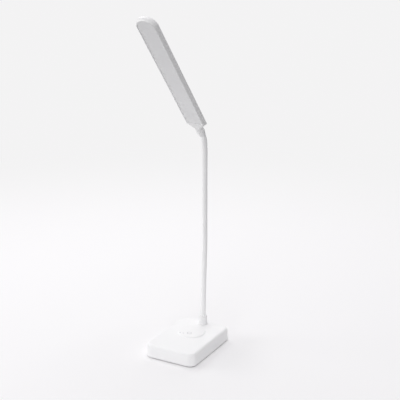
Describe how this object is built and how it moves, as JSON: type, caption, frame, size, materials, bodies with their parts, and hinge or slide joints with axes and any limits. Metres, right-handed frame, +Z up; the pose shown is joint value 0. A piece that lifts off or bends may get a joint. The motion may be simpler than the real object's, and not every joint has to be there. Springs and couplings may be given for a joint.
{
  "type": "gooseneck LED desk lamp",
  "caption": "Small desk lamp with a weighted rounded block base, a thin sleeved gooseneck and a long flat light head with a milky front panel, switched by a raised touch button on the base.",
  "frame": {"origin": "centre of the base's footprint, on the table under the non-slip pad", "axes": "+Z up from the table, -Y the lamp's front, where the head leans out over the base, and +X to the lamp's own left as it faces front"},
  "size_m": [0.0734, 0.1523, 0.457],
  "materials": {
    "white_plastic": "fine satin",
    "reflector_sheet": "matt white",
    "milky_diffuser": "milky, satin",
    "white_sleeve": "smooth, satin",
    "grey_rubber": "matt",
    "dark_steel": "blackened",
    "steel": "plated",
    "neck_steel": "drawn",
    "battery_foil": "foil",
    "green_board": "solder mask",
    "white_board": "white solder mask",
    "black_chips": "moulded",
    "led_yellow": "phosphor under clear resin",
    "copper_foil": "bright copper",
    "red_lead": "insulation",
    "grey_mark": "satin",
    "light_pipe": "frosted"
  },
  "bodies": {
    "base": {"base_cover": "white_plastic", "base_plate": "white_plastic", "non_slip_pad": "grey_rubber", "base_screws": "dark_steel", "ballast_plate": "steel", "battery": "battery_foil", "battery_pad": "grey_rubber", "control_board": "green_board", "board_chips": "black_chips", "board_screws": "steel", "usb_socket": "steel", "touch_electrode": "copper_foil", "touch_lead": "copper_foil", "power_mark": "grey_mark", "indicator_lights": "light_pipe", "battery_leads": "red_lead", "lamp_leads": "red_lead", "lower_ferrule": "steel", "neck_washer": "steel", "neck_nut": "steel", "neck_collar": "white_plastic", "neck_sleeve_01": "white_sleeve", "neck_core_01": "neck_steel"},
    "neck_02": {"neck_sleeve_02": "white_sleeve", "neck_core_02": "neck_steel"},
    "neck_03": {"neck_sleeve_03": "white_sleeve", "neck_core_03": "neck_steel"},
    "neck_04": {"neck_sleeve_04": "white_sleeve", "neck_core_04": "neck_steel"},
    "neck_05": {"neck_sleeve_05": "white_sleeve", "neck_core_05": "neck_steel"},
    "neck_06": {"neck_sleeve_06": "white_sleeve", "neck_core_06": "neck_steel"},
    "neck_07": {"neck_sleeve_07": "white_sleeve", "neck_core_07": "neck_steel"},
    "neck_08": {"neck_sleeve_08": "white_sleeve", "neck_core_08": "neck_steel"},
    "neck_09": {"neck_sleeve_09": "white_sleeve", "neck_core_09": "neck_steel"},
    "neck_10": {"neck_sleeve_10": "white_sleeve", "neck_core_10": "neck_steel"},
    "neck_11": {"neck_sleeve_11": "white_sleeve", "neck_core_11": "neck_steel"},
    "neck_12": {"neck_sleeve_12": "white_sleeve", "neck_core_12": "neck_steel"},
    "head": {"head_back": "white_plastic", "head_frame": "white_plastic", "diffuser": "milky_diffuser", "reflector": "reflector_sheet", "led_board": "white_board", "leds": "led_yellow", "led_screws": "steel", "upper_ferrule": "steel", "ferrule_clamp": "steel", "clamp_screws": "steel", "head_leads": "red_lead", "neck_sleeve_13": "white_sleeve", "neck_core_13": "neck_steel"}
  },
  "joints": [
    {"name": "neck_01_sideways", "type": "hinge", "parent": "base", "child": "neck_02", "pos_m": [0, 0.0415, 0.0342], "axis": [0, 0.9997, -0.0262], "range_deg": [-14, 14]},
    {"name": "neck_02_fore_aft", "type": "hinge", "parent": "neck_02", "child": "neck_03", "pos_m": [0, 0.0428, 0.05902], "axis": [1, 0, 0], "range_deg": [-12, 10]},
    {"name": "neck_03_sideways", "type": "hinge", "parent": "neck_03", "child": "neck_04", "pos_m": [0, 0.0441, 0.08384], "axis": [0, 0.9986, -0.0523], "range_deg": [-14, 14]},
    {"name": "neck_04_fore_aft", "type": "hinge", "parent": "neck_04", "child": "neck_05", "pos_m": [0, 0.0454, 0.10866], "axis": [1, 0, 0], "range_deg": [-12, 10]},
    {"name": "neck_05_sideways", "type": "hinge", "parent": "neck_05", "child": "neck_06", "pos_m": [0, 0.0467, 0.13349], "axis": [0, 0.9997, -0.0262], "range_deg": [-14, 14]},
    {"name": "neck_06_fore_aft", "type": "hinge", "parent": "neck_06", "child": "neck_07", "pos_m": [0, 0.0467, 0.15834], "axis": [1, 0, 0], "range_deg": [-12, 10]},
    {"name": "neck_07_sideways", "type": "hinge", "parent": "neck_07", "child": "neck_08", "pos_m": [0, 0.0467, 0.1832], "axis": [0, 1, 0], "range_deg": [-18, 18]},
    {"name": "neck_08_fore_aft", "type": "hinge", "parent": "neck_08", "child": "neck_09", "pos_m": [0, 0.0467, 0.20805], "axis": [1, 0, 0], "range_deg": [-24, 12]},
    {"name": "neck_09_sideways", "type": "hinge", "parent": "neck_09", "child": "neck_10", "pos_m": [0, 0.0467, 0.23291], "axis": [0, 1, 0], "range_deg": [-18, 18]},
    {"name": "neck_10_fore_aft", "type": "hinge", "parent": "neck_10", "child": "neck_11", "pos_m": [0, 0.0467, 0.25776], "axis": [1, 0, 0], "range_deg": [-24, 12]},
    {"name": "neck_11_sideways", "type": "hinge", "parent": "neck_11", "child": "neck_12", "pos_m": [0, 0.046, 0.27074], "axis": [0, 0.9898, 0.1425], "range_deg": [-18, 18]},
    {"name": "neck_12_fore_aft", "type": "hinge", "parent": "neck_12", "child": "head", "pos_m": [0, 0.04393, 0.2795], "axis": [1, 0, 0], "range_deg": [-24, 12]}
  ],
  "couplings": [
    {"joint": "neck_03_sideways", "follows": "neck_01_sideways", "ratio": 1},
    {"joint": "neck_04_fore_aft", "follows": "neck_02_fore_aft", "ratio": 1},
    {"joint": "neck_05_sideways", "follows": "neck_01_sideways", "ratio": 1},
    {"joint": "neck_06_fore_aft", "follows": "neck_02_fore_aft", "ratio": 1},
    {"joint": "neck_09_sideways", "follows": "neck_07_sideways", "ratio": 1},
    {"joint": "neck_10_fore_aft", "follows": "neck_08_fore_aft", "ratio": 1},
    {"joint": "neck_11_sideways", "follows": "neck_07_sideways", "ratio": 1},
    {"joint": "neck_12_fore_aft", "follows": "neck_08_fore_aft", "ratio": 1}
  ]
}
